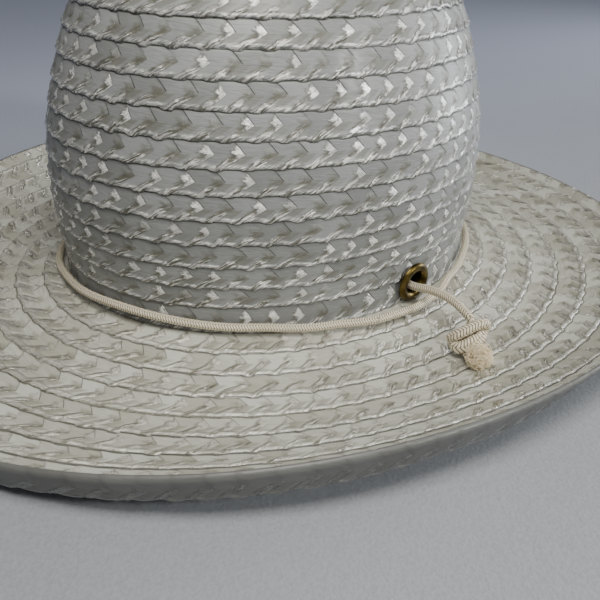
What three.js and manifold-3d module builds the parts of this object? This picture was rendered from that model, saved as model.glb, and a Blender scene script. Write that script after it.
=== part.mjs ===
// Straw cowboy hat: sewn straw crown and brim, a cord round the crown, two brass eyelets and a
// chin cord with knotted, frayed ends. Millimetres, +Z up, the table is z = 0, the front is -Y,
// the wearer's left is +X, and the origin lies on the table under the middle of the crown.
import * as THREE from 'three';
import { mergeVertices } from 'three/addons/utils/BufferGeometryUtils.js';
import Module from 'manifold-3d';

const wasm = await Module();
wasm.setup();

// Sizes in millimetres.
const BASE_HEIGHT = 16.4;        // last wall row line of the crown above the table
const LENGTH_FACTOR = 1.099;     // the head oval, front to back, against its mean radius
const WIDTH_FACTOR = 0.901;      // the head oval, side to side, against its mean radius
const SELVEDGE = 0.9;            // how far a row's lower edge stands out from the row line
const RECESS = 0.15;             // how far the next row starts out from the row line
const STEP = 0.5;                // length of the little step below a row's lower edge
const CROWN_BACK = 1.15;         // straw behind the crown's row line
const BRIM_BACK = 1.05;          // straw under the brim's row line
const CROWN_SIDES = 42;
const BRIM_SIDES = 60;
const BRIM_START = 1.7;          // where the brim starts, out from the foot of the crown
const BRIM_PITCH = 12.1;         // width of one row that shows on the brim
const BRIM_ROWS = 7.6;           // rows from the crown's foot to the fold
const HEM_DEPTH = 10.6;          // the turned-down edge row, from the fold to its lower edge
const CORD_RADIUS = 1.85;
const CORD_SIDES = 8;
const GAP = 0.32;

// Lower edge lines of the crown's rows, from the tip down: mean radius, height over BASE_HEIGHT.
const CROWN_ROWS = [
  { radius: 7.6, height: 135.5 },
  { radius: 17.7, height: 135.2 },
  { radius: 27.8, height: 134.3 },
  { radius: 37.7, height: 132.4 },
  { radius: 47.3, height: 129.0 },
  { radius: 56.2, height: 124.2 },
  { radius: 64.0, height: 117.9 },
  { radius: 70.3, height: 110.3 },
  { radius: 75.2, height: 101.8 },
  { radius: 79.0, height: 92.8 },
  { radius: 82.2, height: 83.6 },
  { radius: 85.2, height: 74.2 },
  { radius: 87.8, height: 64.8 },
  { radius: 89.8, height: 55.3 },
  { radius: 91.0, height: 45.9 },
  { radius: 91.6, height: 36.4 },
  { radius: 91.9, height: 27.1 },
  { radius: 91.7, height: 18.0 },
  { radius: 91.0, height: 9.0 },
  { radius: 90.1, height: 0.0 },
  { radius: 90.6, height: -11.0 },
];
const FOOT = CROWN_ROWS[CROWN_ROWS.length - 1];
const FOOT_SADDLE = 1.0;         // the foot of the crown is this much lower at the sides

// How the brim slopes, in degrees below level, as start - bend * t ^ power, t = 0 at the crown
// and 1 at the fold, blended from front and back to the sides.
const BRIM_SLOPE = {
  ends: { start: 8.0, bend: 30.0, power: 1.95 },
  sides: { start: 11.0, bend: 52.0, power: 1.3 },
};

// How far the hem tucks inward from straight down, by azimuth from the front, both sides alike.
const HEM_TUCK = [
  { azimuth: 0, degrees: 34 },
  { azimuth: 20, degrees: 26 },
  { azimuth: 40, degrees: 12 },
  { azimuth: 65, degrees: 8 },
  { azimuth: 85, degrees: 16 },
  { azimuth: 105, degrees: 34 },
  { azimuth: 130, degrees: 38 },
  { azimuth: 180, degrees: 34 },
];

// Where the cord round the crown leaves the crease, by azimuth round the hat.
const BAND_OFFSETS = [
  { azimuth: -180, out: 0.0, up: 0.0 },
  { azimuth: -130, out: 0.5, up: 0.0 },
  { azimuth: -112, out: 4.5, up: 0.0 },
  { azimuth: -102, out: 5.6, up: 0.0 },
  { azimuth: -92, out: 4.5, up: 0.0 },
  { azimuth: -74, out: 0.6, up: 0.0 },
  { azimuth: -40, out: 0.0, up: 0.0 },
  { azimuth: -12, out: 1.6, up: 0.0 },
  { azimuth: 6, out: 0.3, up: 1.0 },
  { azimuth: 24, out: 0.2, up: 2.8 },
  { azimuth: 56, out: 0.2, up: 0.6 },
  { azimuth: 76, out: 2.6, up: 0.0 },
  { azimuth: 92, out: 5.8, up: 0.0 },
  { azimuth: 103, out: 6.6, up: 0.0 },
  { azimuth: 112, out: 5.6, up: 0.0 },
  { azimuth: 124, out: 2.2, up: 0.0 },
  { azimuth: 142, out: 0.4, up: 0.0 },
  { azimuth: 180, out: 0.0, up: 0.0 },
];

const EYELET = {
  oval: 14.0,                    // place round the oval, degrees behind the widest point
  height: 13.9,                  // centre above the table
  lean: 2.0,                     // degrees it looks downward
  flange: 8.8,                   // outer radius of both flanges
  barrel: 5.6,                   // outer radius of the barrel through the wall
  hole: 4.7,
  wallHole: 6.05,                // radius of the hole in the straw
  front: 1.65,                   // flange inner face in front of the wall's row line
  back: 1.9,                     // inner flange behind the wall's row line
  thick: 0.75,
  roll: 0.45,
};

// The chin cord's centre line on the wearer's left, from its knot to the middle of the loop.
const CHIN_ROUTE = [
  [117.0, 24.0, 15.6],
  [115.0, 24.0, 16.4],
  [110.7, 24.0, 17.4],
  [106.0, 24.1, 17.9],
  [101.3, 24.0, 17.7],
  [95.7, 23.5, 17.0],
  [90.5, 22.8, 15.8],
  [85.6, 22.2, 14.3],
  [81.1, 22.4, 13.2],
  [77.2, 21.75, 13.35],
  [72.5, 20.0, 12.2],
  [68.5, 16.0, 8.6],
  [65.5, 9.0, 4.0],
  [63.0, 0.0, 2.3],
  [57.5, -44.0, 2.3],
  [50.5, -61.0, 2.3],
  [38.5, -68.5, 2.3],
  [26.5, -61.0, 2.3],
  [20.0, -44.0, 2.3],
  [19.0, 25.0, 2.3],
  [17.3, 48.0, 2.3],
  [10.8, 60.5, 2.3],
  [0.0, 65.0, 2.3],
];
const CHIN_STEPS = 78;
const KNOT = { at: [119.5, 21.0, 10.35], size: [11.0, 16.6, 10.4], turn: -30 };
const TUFT = { at: [130.1, 17.1, 9.3], size: [12.0, 11.4, 9.0], turn: 20 };

// Looks and helpers.
const STRAW = new THREE.MeshStandardMaterial({ color: 0xd9d6cb, roughness: 0.55, metalness: 0 });
const STRAW_BRIM = new THREE.MeshStandardMaterial({ color: 0xcfc8b6, roughness: 0.6, metalness: 0 });
const CORD = new THREE.MeshStandardMaterial({ color: 0xd8c8aa, roughness: 0.7, metalness: 0 });
const TUFT_LOOK = new THREE.MeshStandardMaterial({ color: 0xcdb68e, roughness: 0.9, metalness: 0 });
const BRASS = new THREE.MeshStandardMaterial({ color: 0x8a6a35, roughness: 0.38, metalness: 0.9 });

const rad = THREE.MathUtils.degToRad;

function table(rows, key, name, value) {
  if (value <= rows[0][key]) {
    return rows[0][name];
  }
  for (let i = 1; i < rows.length; i += 1) {
    if (value <= rows[i][key]) {
      const a = rows[i - 1];
      const b = rows[i];
      const t = (value - a[key]) / (b[key] - a[key]);
      const s = t * t * (3 - 2 * t);
      return a[name] + (b[name] - a[name]) * s;
    }
  }
  return rows[rows.length - 1][name];
}

// Height of the crown's foot at a place round the oval.
function footHeight(turn) {
  return FOOT.height - FOOT_SADDLE * Math.cos(turn) ** 2;
}

function ovalNormal(turn) {
  const x = Math.cos(turn) / WIDTH_FACTOR;
  const y = Math.sin(turn) / LENGTH_FACTOR;
  const length = Math.hypot(x, y);
  return [x / length, y / length];
}

function azimuthOf(x, y) {
  return THREE.MathUtils.radToDeg(Math.atan2(x, -y));
}

// Point on the brim's row line: outward distance and height from the crown's foot, and its slope.
function brimLine(turn, reach) {
  const side = Math.cos(turn) ** 2;
  const full = BRIM_ROWS * BRIM_PITCH;
  const steps = 30;
  const stop = Math.min(reach, full);
  let out = 0;
  let up = 0;
  const slopeAt = (t) => {
    const ends = BRIM_SLOPE.ends.start - BRIM_SLOPE.ends.bend * t ** BRIM_SLOPE.ends.power;
    const sides = BRIM_SLOPE.sides.start - BRIM_SLOPE.sides.bend * t ** BRIM_SLOPE.sides.power;
    return rad(ends * (1 - side) + sides * side);
  };
  for (let i = 0; i < steps; i += 1) {
    const slope = slopeAt((((i + 0.5) / steps) * stop) / full);
    out += (Math.cos(slope) * stop) / steps;
    up -= (Math.sin(slope) * stop) / steps;
  }
  return { out, up, slope: slopeAt(stop / full) };
}

// A point of the brim: how far along the brim, and how far above its row line.
function brimPoint(turn, reach, lift) {
  const full = BRIM_ROWS * BRIM_PITCH;
  const line = brimLine(turn, reach);
  const n = ovalNormal(turn);
  let out = line.out;
  let up = line.up;
  let slope = line.slope;
  if (reach > full) {
    const foldX = WIDTH_FACTOR * FOOT.radius * Math.cos(turn) + n[0] * out;
    const foldY = LENGTH_FACTOR * FOOT.radius * Math.sin(turn) + n[1] * out;
    const tuck = rad(table(HEM_TUCK, 'azimuth', 'degrees', Math.abs(azimuthOf(foldX, foldY))));
    const past = reach - full;
    const blend = Math.min(1, past / 1.2);
    out -= Math.sin(tuck) * past;
    up -= Math.cos(tuck) * past;
    slope = slope + (Math.PI / 2 + tuck - slope) * (0.5 + 0.5 * blend);
  }
  out += Math.sin(slope) * lift;
  up += Math.cos(slope) * lift;
  const x = WIDTH_FACTOR * FOOT.radius * Math.cos(turn) + n[0] * out;
  const y = LENGTH_FACTOR * FOOT.radius * Math.sin(turn) + n[1] * out;
  const z = BASE_HEIGHT + footHeight(turn) + up;
  return [x, y, z];
}

function toManifold(geometry) {
  const g = geometry.clone();
  g.deleteAttribute('normal');
  g.deleteAttribute('uv');
  const merged = mergeVertices(g, 1e-4);
  return new wasm.Manifold(new wasm.Mesh({
    numProp: 3,
    vertProperties: new Float32Array(merged.attributes.position.array),
    triVerts: new Uint32Array(merged.index.array),
  }));
}

function fromManifold(solid) {
  const m = solid.getMesh();
  const g = new THREE.BufferGeometry();
  g.setAttribute('position', new THREE.BufferAttribute(new Float32Array(m.vertProperties), 3));
  g.setIndex(new THREE.BufferAttribute(new Uint32Array(m.triVerts), 1));
  return g;
}

// Welds a closed surface and turns its faces outward.
function closedBody(geometry) {
  const g = geometry.clone();
  g.deleteAttribute('normal');
  g.deleteAttribute('uv');
  const merged = mergeVertices(g, 1e-4);
  const p = merged.attributes.position.array;
  const old = merged.index.array;
  const kept = [];
  let volume = 0;
  for (let i = 0; i < old.length; i += 3) {
    const [a, b, c] = [old[i], old[i + 1], old[i + 2]];
    if (a !== b && b !== c && c !== a) {
      kept.push(a, b, c);
      const [ax, ay, az] = [p[3 * a], p[3 * a + 1], p[3 * a + 2]];
      const [bx, by, bz] = [p[3 * b], p[3 * b + 1], p[3 * b + 2]];
      const [cx, cy, cz] = [p[3 * c], p[3 * c + 1], p[3 * c + 2]];
      volume += ax * (by * cz - bz * cy) + ay * (bz * cx - bx * cz) + az * (bx * cy - by * cx);
    }
  }
  if (volume < 0) {
    for (let i = 0; i < kept.length; i += 3) {
      [kept[i + 1], kept[i + 2]] = [kept[i + 2], kept[i + 1]];
    }
  }
  merged.setIndex(kept);
  return merged;
}

// Moves every vertex of a lathe (axis Y, radius, height) by a rule.
function mapLathe(profile, sides, rule) {
  const points = profile.map(([r, h]) => new THREE.Vector2(r, h));
  const g = new THREE.LatheGeometry(points, sides);
  const p = g.attributes.position;
  for (let i = 0; i < p.count; i += 1) {
    const row = i % points.length;
    const column = Math.floor(i / points.length) % sides;
    const turn = (column / sides) * 2 * Math.PI;
    const [x, y, z] = rule(turn, points[row].x, points[row].y, row);
    p.setXYZ(i, x, y, z);
  }
  return closedBody(g);
}

function tube(points, radius, sides, steps) {
  const curve = new THREE.CatmullRomCurve3(points, false, 'centripetal');
  const shape = new THREE.Shape();
  for (let i = 0; i < sides; i += 1) {
    const a = (2 * Math.PI * i) / sides;
    const [x, y] = [radius * Math.cos(a), radius * Math.sin(a)];
    if (i === 0) {
      shape.moveTo(x, y);
    } else {
      shape.lineTo(x, y);
    }
  }
  shape.closePath();
  const g = new THREE.ExtrudeGeometry(shape, { steps, extrudePath: curve, curveSegments: 1 });
  return closedBody(g);
}

// The crown: a lathe profile with one small step at the lower edge of each row, made oval.
function crownProfile() {
  const outer = [];
  const inner = [];
  const rows = CROWN_ROWS;
  outer.push([0, rows[0].height + 0.35 + SELVEDGE * 0.6]);
  for (let i = 0; i < rows.length; i += 1) {
    const before = i === 0 ? { radius: 0, height: rows[0].height + 0.2 } : rows[i - 1];
    const after = rows[Math.min(i + 1, rows.length - 1)];
    const dx = after.radius - before.radius;
    const dz = after.height - before.height;
    const length = Math.hypot(dx, dz);
    const normal = [-dz / length, dx / length];
    const along = [dx / length, dz / length];
    const { radius, height } = rows[i];
    outer.push([radius + normal[0] * SELVEDGE, height + normal[1] * SELVEDGE]);
    if (i < rows.length - 1) {
      outer.push([
        radius + normal[0] * RECESS + along[0] * STEP,
        height + normal[1] * RECESS + along[1] * STEP,
      ]);
    }
    if (i % 2 === 0 || i > 17) {
      inner.push([radius - normal[0] * CROWN_BACK, height - normal[1] * CROWN_BACK]);
    }
  }
  inner.reverse();
  return [...outer, ...inner, [0, rows[0].height - CROWN_BACK]];
}

// Below the last wall row the heights stretch down to the foot, which dips at the sides.
function crownPoint(turn, radius, height) {
  const stretch = height < 0 ? footHeight(turn) / FOOT.height : 1;
  return [
    WIDTH_FACTOR * radius * Math.cos(turn),
    LENGTH_FACTOR * radius * Math.sin(turn),
    BASE_HEIGHT + height * stretch,
  ];
}

// Mean radius of the crown's row line at a height over BASE_HEIGHT.
function wallRadius(height) {
  for (let i = 1; i < CROWN_ROWS.length; i += 1) {
    const a = CROWN_ROWS[i - 1];
    const b = CROWN_ROWS[i];
    if (height >= b.height) {
      return b.radius + ((a.radius - b.radius) * (height - b.height)) / (a.height - b.height);
    }
  }
  return FOOT.radius;
}

// Frame of an eyelet: its centre on the wall's row line and the direction it faces.
function eyeletFrame(side) {
  const turn = rad(EYELET.oval);
  const r = wallRadius(EYELET.height - BASE_HEIGHT);
  const n = ovalNormal(turn);
  const lean = rad(EYELET.lean);
  const centre = new THREE.Vector3(
    side * WIDTH_FACTOR * r * Math.cos(turn),
    LENGTH_FACTOR * r * Math.sin(turn),
    EYELET.height,
  );
  const facing = new THREE.Vector3(
    side * n[0] * Math.cos(lean),
    n[1] * Math.cos(lean),
    -Math.sin(lean),
  );
  return { centre, facing };
}

function placeOnWall(geometry, side) {
  const { centre, facing } = eyeletFrame(side);
  const turn = new THREE.Quaternion().setFromUnitVectors(new THREE.Vector3(0, 1, 0), facing);
  const g = geometry.clone();
  g.applyQuaternion(turn);
  g.translate(centre.x, centre.y, centre.z);
  return g;
}

function buildCrown() {
  let solid = toManifold(mapLathe(crownProfile(), CROWN_SIDES, (turn, r, h) => crownPoint(turn, r, h)));
  for (const side of [1, -1]) {
    const drill = new THREE.CylinderGeometry(EYELET.wallHole, EYELET.wallHole, 16, 20);
    solid = solid.subtract(toManifold(placeOnWall(drill, side)));
  }
  return fromManifold(solid);
}

// The brim: a wall with the same steps, bent along the slope lines, with its hem turned down.
function brimProfile() {
  const full = BRIM_ROWS * BRIM_PITCH;
  const top = [[BRIM_START, SELVEDGE * 0.5]];
  for (let i = 1; i <= Math.floor(BRIM_ROWS); i += 1) {
    top.push([i * BRIM_PITCH, SELVEDGE]);
    top.push([i * BRIM_PITCH + STEP, RECESS]);
  }
  top.push([full, SELVEDGE * 0.7]);
  top.push([full + 1.4, SELVEDGE * 0.6]);
  top.push([full + HEM_DEPTH, SELVEDGE]);
  const under = [
    [full + HEM_DEPTH, -BRIM_BACK],
    [full + 1.9, -BRIM_BACK],
    [full - 0.4, -BRIM_BACK],
  ];
  for (let i = Math.floor(BRIM_ROWS); i >= 1; i -= 1) {
    under.push([i * BRIM_PITCH - 0.4, -BRIM_BACK]);
  }
  under.push([BRIM_START, -BRIM_BACK]);
  return [...top, ...under, top[0]];
}

// Where the hem's edge comes this near the table, it is flattened on it: front and back.
function buildBrim() {
  const profile = brimProfile().map(([s, h]) => [s + 100, h]);
  return mapLathe(profile, BRIM_SIDES, (turn, s, h) => {
    const point = brimPoint(turn, s - 100, h);
    if (s - 100 > BRIM_ROWS * BRIM_PITCH + HEM_DEPTH - 0.01 && point[2] < 0.8) {
      point[2] = 0;
    }
    return point;
  });
}

// The cord round the crown, which lies in the crease and passes outside the chin cord.
function bandPath(turn) {
  const n = ovalNormal(turn);
  const baseX = WIDTH_FACTOR * FOOT.radius * Math.cos(turn);
  const baseY = LENGTH_FACTOR * FOOT.radius * Math.sin(turn);
  const azimuth = azimuthOf(baseX, baseY);
  const out = SELVEDGE * 1.1 + GAP + CORD_RADIUS + 0.15 + table(BAND_OFFSETS, 'azimuth', 'out', azimuth);
  const up = table(BAND_OFFSETS, 'azimuth', 'up', azimuth);
  const line = brimLine(turn, out);
  const z = BASE_HEIGHT + footHeight(turn) + line.up + SELVEDGE + GAP + CORD_RADIUS + 0.1 + up;
  return new THREE.Vector3(baseX + n[0] * out, baseY + n[1] * out, z);
}

function buildBand() {
  const count = 64;
  const torus = new THREE.TorusGeometry(60, CORD_RADIUS, CORD_SIDES, count);
  const p = torus.attributes.position;
  const columns = count + 1;
  for (let i = 0; i < p.count; i += 1) {
    const around = Math.floor(i / columns) % CORD_SIDES;
    const turn = ((i % columns) % count) / count * 2 * Math.PI;
    const centre = bandPath(turn);
    const ahead = bandPath(turn + 0.02).sub(bandPath(turn - 0.02)).normalize();
    const outward = new THREE.Vector3(ahead.y, -ahead.x, 0).normalize();
    const upward = new THREE.Vector3().crossVectors(outward, ahead).normalize();
    const a = (2 * Math.PI * around) / CORD_SIDES;
    centre.addScaledVector(outward, CORD_RADIUS * Math.cos(a));
    centre.addScaledVector(upward, CORD_RADIUS * Math.sin(a));
    p.setXYZ(i, centre.x, centre.y, centre.z);
  }
  return closedBody(torus);
}

// An eyelet: a barrel through the wall with a flange on each side.
function buildEyelet(side) {
  const e = EYELET;
  const profile = [
    [e.hole, -e.back - e.thick * 0.6],
    [e.hole, e.front + e.thick * 0.3],
    [e.hole + 0.5, e.front + e.thick],
    [e.hole + 1.5, e.front + e.thick + e.roll],
    [e.flange - 0.9, e.front + e.thick + e.roll * 0.6],
    [e.flange, e.front + 0.25],
    [e.flange - 0.15, e.front],
    [e.barrel, e.front],
    [e.barrel, -e.back],
    [e.flange - 0.6, -e.back],
    [e.flange - 0.9, -e.back - e.thick],
    [e.hole + 0.6, -e.back - e.thick],
    [e.hole, -e.back - e.thick * 0.6],
  ];
  const g = new THREE.LatheGeometry(profile.map(([r, h]) => new THREE.Vector2(r, h)), 18);
  return closedBody(placeOnWall(g, side));
}

// The chin cord, its knots and its frayed ends.
function chinPoints() {
  const left = CHIN_ROUTE.map(([x, y, z]) => new THREE.Vector3(x, y, z));
  const right = CHIN_ROUTE.slice(0, -1).map(([x, y, z]) => new THREE.Vector3(-x, y, z)).reverse();
  return [...left, ...right];
}

function lump(spec, side, across, down) {
  const g = new THREE.SphereGeometry(0.5, across, down);
  g.scale(spec.size[0], spec.size[1], spec.size[2]);
  g.rotateZ(rad(spec.turn) * side);
  g.translate(spec.at[0] * side, spec.at[1], spec.at[2]);
  return closedBody(g);
}

// The object.
const hat = new THREE.Group();
hat.name = 'straw_cowboy_hat';

function add(name, geometry, material) {
  geometry.computeVertexNormals();
  const mesh = new THREE.Mesh(geometry, material);
  mesh.name = name;
  hat.add(mesh);
}

add('crown', buildCrown(), STRAW);
add('brim', buildBrim(), STRAW_BRIM);
add('band_cord', buildBand(), CORD);
add('eyelet_left', buildEyelet(1), BRASS);
add('eyelet_right', buildEyelet(-1), BRASS);
add('chin_cord', tube(chinPoints(), CORD_RADIUS, CORD_SIDES, CHIN_STEPS), CORD);
add('knot_left', lump(KNOT, 1, 10, 7), CORD);
add('knot_right', lump(KNOT, -1, 10, 7), CORD);
add('tuft_left', lump(TUFT, 1, 10, 7), TUFT_LOOK);
add('tuft_right', lump(TUFT, -1, 10, 7), TUFT_LOOK);

export default hat;
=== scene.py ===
# %% [markdown]
# # A sewn straw western hat
#
# The hat is one long flat plait of pearly straw-like strips, sewn round and round so that each
# row laps over the next. A thick cord lies in the crease between crown and brim. A chin cord
# comes out of a brass eyelet on each side, and ends there in a knot and a frayed tuft. Every
# piece is built in the frame of the solid model, in metres, with the table at z = 0, the front
# of the hat at -Y and the wearer's left at +X. Lengths are written in mm and multiplied by MM
# when a mesh is made, because rows and cords are a few mm across and read best that way.

import math
from types import SimpleNamespace

import bpy
import numpy as np
from mathutils import Matrix


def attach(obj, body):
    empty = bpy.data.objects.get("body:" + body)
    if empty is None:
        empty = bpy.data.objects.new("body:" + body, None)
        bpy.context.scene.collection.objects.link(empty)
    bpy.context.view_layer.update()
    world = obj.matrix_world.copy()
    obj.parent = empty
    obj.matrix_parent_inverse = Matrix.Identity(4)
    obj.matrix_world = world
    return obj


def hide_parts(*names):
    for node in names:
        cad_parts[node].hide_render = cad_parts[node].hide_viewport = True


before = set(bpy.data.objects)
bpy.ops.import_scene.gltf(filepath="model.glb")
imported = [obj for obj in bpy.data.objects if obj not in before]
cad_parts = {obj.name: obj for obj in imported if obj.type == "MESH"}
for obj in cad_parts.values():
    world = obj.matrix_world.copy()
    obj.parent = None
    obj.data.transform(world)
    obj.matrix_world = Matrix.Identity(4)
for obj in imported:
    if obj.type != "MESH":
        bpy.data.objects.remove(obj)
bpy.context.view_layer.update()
MM = 0.001

# %% [markdown]
# ## The camera
#
# The photograph looks down at the hat's left side from about 30 cm, a little from the front. A
# camera could be moved about by hand until the picture looks right. This one was worked out: the
# plait's row lines are rings at known heights, so the place and turn were sought at which each
# ring falls on its line in the photograph.

# %% Camera
PHOTO_CAMERA = {
    "at": (0.26488, -0.14084, 0.1504),  # metres
    "heading": 59.3,  # degrees from +Y towards -X that it looks
    "down": 31.3,  # degrees below level
    "roll": 1.8,  # degrees
    "lens": 39.0,  # mm, on a sensor 36 mm wide
}


def camera_axes(heading, down, roll):
    """Right, up and forward of a camera: forward points to the heading, tipped down, and right
    and up are turned about it by the roll."""
    heading, down, roll = (math.radians(angle) for angle in (heading, down, roll))
    level = np.array([-math.sin(heading), math.cos(heading), 0.0])
    right = np.array([math.cos(heading), math.sin(heading), 0.0])
    top = np.array([0.0, 0.0, 1.0])
    forward = level * math.cos(down) - top * math.sin(down)
    up = level * math.sin(down) + top * math.cos(down)
    return (
        right * math.cos(roll) + up * math.sin(roll),
        up * math.cos(roll) - right * math.sin(roll),
        forward,
    )


RIGHT, UP, FORWARD = camera_axes(
    PHOTO_CAMERA["heading"], PHOTO_CAMERA["down"], PHOTO_CAMERA["roll"]
)
camera_data = bpy.data.cameras.new("camera")
camera_data.lens = PHOTO_CAMERA["lens"]
camera_data.sensor_width = 36.0
camera_data.clip_start = 0.01
camera = bpy.data.objects.new("camera", camera_data)
bpy.context.scene.collection.objects.link(camera)
turn = np.eye(4)
turn[:3, 0], turn[:3, 1], turn[:3, 2] = RIGHT, UP, -FORWARD
turn[:3, 3] = PHOTO_CAMERA["at"]
camera.matrix_world = Matrix(turn.tolist())
bpy.context.scene.camera = camera
print("camera looks along", np.round(FORWARD, 3))

# %% [markdown]
# ## The light
#
# The light in the photograph is soft and a little blue. It comes low from the right, so every
# lapped row has a dark line under it, and the glossy strips on the right have sparks. A picture
# of a sky could light the scene, but lamps can be placed one by one: a large cool window low on
# the right, a small lamp higher on the right for the sparks, and a weak warm one near the camera.
# An even, dim sky fills the shadows. The strengths were set by comparing mean tones.

# %% Lights and sky
SKY = {"color": (0.80, 0.81, 0.84, 1.0), "strength": 0.22}
LIGHTS = {
    "window": {"at": (0.18, 1.15, 0.25), "size": 0.42, "watts": 7.5, "color": (0.93, 0.96, 1.0)},
    "spark": {"at": (0.85, 0.40, 0.50), "size": 0.12, "watts": 4.4, "color": (0.98, 1.0, 0.98)},
    "front": {"at": (0.25, -0.10, 0.44), "size": 0.2, "watts": 2.0, "color": (1.0, 0.98, 0.91)},
}
AIM = np.array([0.03, 0.0, 0.07])  # metres, in the crown's left wall


def area_light(name, at, size, watts, color):
    """A square lamp at a place, turned to face the hat: its own -Z axis points at AIM."""
    data = bpy.data.lights.new(name, "AREA")
    data.size = size
    data.energy = watts
    data.color = color
    lamp = bpy.data.objects.new(name, data)
    bpy.context.scene.collection.objects.link(lamp)
    back = np.array(at) - AIM
    back = back / np.linalg.norm(back)
    side = np.cross([0.0, 0.0, 1.0], back)
    side = side / np.linalg.norm(side)
    matrix = np.eye(4)
    matrix[:3, 0], matrix[:3, 1], matrix[:3, 2] = side, np.cross(back, side), back
    matrix[:3, 3] = at
    lamp.matrix_world = Matrix(matrix.tolist())


for light_name, values in LIGHTS.items():
    area_light(light_name, **values)
sky = bpy.data.worlds.new("sky")
sky.use_nodes = True
sky.node_tree.nodes["Background"].inputs["Color"].default_value = SKY["color"]
sky.node_tree.nodes["Background"].inputs["Strength"].default_value = SKY["strength"]
bpy.context.scene.world = sky
print("lights", list(LIGHTS))

# %% [markdown]
# ## Shader maths as Python
#
# A look is a material, and its nodes could be drawn by hand in the shader editor. They are
# written as expressions here, because `1 - mask` is easier to read and to change than the boxes
# it stands for. `Value` wraps a socket, so that maths on it adds Math nodes, and every other
# node comes from the one method `node`.


# %% Shader numbers
class Value:
    """A shader number: maths on it adds Math nodes to its look."""

    def __init__(self, look, socket):
        self.look = look
        self.socket = socket

    def maths(self, operation, *values):
        """A Math node of an operation on these values, which may be plain numbers."""
        inputs = dict(enumerate(values))
        return self.look.node("ShaderNodeMath", {"operation": operation}, inputs)

    def __add__(self, other):
        return self.maths("ADD", self, other)

    def __radd__(self, other):
        return self.maths("ADD", other, self)

    def __sub__(self, other):
        return self.maths("SUBTRACT", self, other)

    def __rsub__(self, other):
        return self.maths("SUBTRACT", other, self)

    def __mul__(self, other):
        return self.maths("MULTIPLY", self, other)

    def __rmul__(self, other):
        return self.maths("MULTIPLY", other, self)

    def __truediv__(self, other):
        return self.maths("DIVIDE", self, other)

    def above(self, other):
        """The larger of the two."""
        return self.maths("MAXIMUM", self, other)

    def fraction(self):
        """What is left over the whole part."""
        return self.maths("FRACT", self)

    def floor(self):
        """The whole part."""
        return self.maths("FLOOR", self)

    def sine(self):
        """The sine, of radians."""
        return self.maths("SINE", self)

    def size(self):
        """The number without its sign."""
        return self.maths("ABSOLUTE", self)

    def other_output(self, place):
        """Another output of the node that this value comes from."""
        return Value(self.look, self.socket.node.outputs[place])


# %% Looks
class Look:
    """A material: one Principled shader, fed by the expressions written on it."""

    def __init__(self, name, color, roughness, **settings):
        self.material = bpy.data.materials.new(name)
        self.material.use_nodes = True
        self.material.diffuse_color = (*color, 1.0)
        self.tree = self.material.node_tree
        self.shader = self.tree.nodes["Principled BSDF"]
        self.shader.inputs["Base Color"].default_value = (*color, 1.0)
        self.shader.inputs["Roughness"].default_value = roughness
        for key, value in settings.items():
            self.shader.inputs[key.replace("_", " ")].default_value = value

    def feed(self, socket, value):
        """Links a Value to a socket, or sets a plain number, colour or vector on it."""
        if isinstance(value, Value):
            self.tree.links.new(value.socket, socket)
        else:
            socket.default_value = value

    def node(self, kind, settings=None, inputs=None, output=0):
        """A node of a kind: its settings first, then the values or links of its sockets."""
        made = self.tree.nodes.new(kind)
        for key, value in (settings or {}).items():
            if key == "stops":
                while len(made.color_ramp.elements) < len(value):
                    made.color_ramp.elements.new(0.5)
                for element, (place, color) in zip(made.color_ramp.elements, value):
                    element.position = place
                    element.color = (*color, 1.0)
            else:
                setattr(made, key, value)
        for key, value in (inputs or {}).items():
            self.feed(made.inputs[key], value)
        return Value(self, made.outputs[output])

    def rise(self, value, start, end):
        """0 up to start and 1 from end on, smooth between; falls where start lies past end."""
        settings = {"interpolation_type": "SMOOTHSTEP"}
        inputs = {"Value": value, "From Min": start, "From Max": end}
        return self.node("ShaderNodeMapRange", settings, inputs)

    def mix(self, factor, a, b):
        """The colour a where factor is 0 and b where it is 1."""
        settings = {"data_type": "RGBA"}
        full = [(*c, 1.0) if isinstance(c, tuple) else c for c in (a, b)]
        inputs = {0: factor, 6: full[0], 7: full[1]}
        return self.node("ShaderNodeMix", settings, inputs, 2)

    def vector(self, x, y, z=0.0):
        """Three numbers as one vector."""
        return self.node("ShaderNodeCombineXYZ", None, {0: x, 1: y, 2: z})

    def noise(self, vector, scale=1.0, detail=2.0, roughness=0.5):
        """Soft noise from 0 to 1, with most of it near 0.5."""
        inputs = {"Vector": vector, "Scale": scale, "Detail": detail, "Roughness": roughness}
        return self.node("ShaderNodeTexNoise", None, inputs)

    def bump(self, height, distance, strength=1.0):
        """Tilts the surface by a height, given in units of distance metres."""
        inputs = {"Height": height, "Distance": distance, "Strength": strength}
        normal = self.node("ShaderNodeBump", None, inputs)
        self.feed(self.shader.inputs["Normal"], normal)


# %% [markdown]
# ## The floor
#
# The hat lies on a pale cloth, a little blue, which makes the cream straw stand out. The cloth's
# folds could be modelled, but it isn't part of the hat, so the floor is one flat square with a
# fine grain. Far behind the hat it is painted lighter and bluer, as painted light, as in the
# photograph.

# %% Floor
FLOOR_HALF = 4.0  # metres
FLOOR_TOP = -0.0004
FLOOR_DARK = (0.285, 0.295, 0.32)
FLOOR_LIGHT = (0.34, 0.352, 0.378)
# painted light: the cloth far behind the hat is painted lighter and bluer
FLOOR_FAR = (0.56, 0.60, 0.74)
FAR_FROM = 0.15  # metres along X, where the far colour starts
FAR_TO = -0.45

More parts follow.
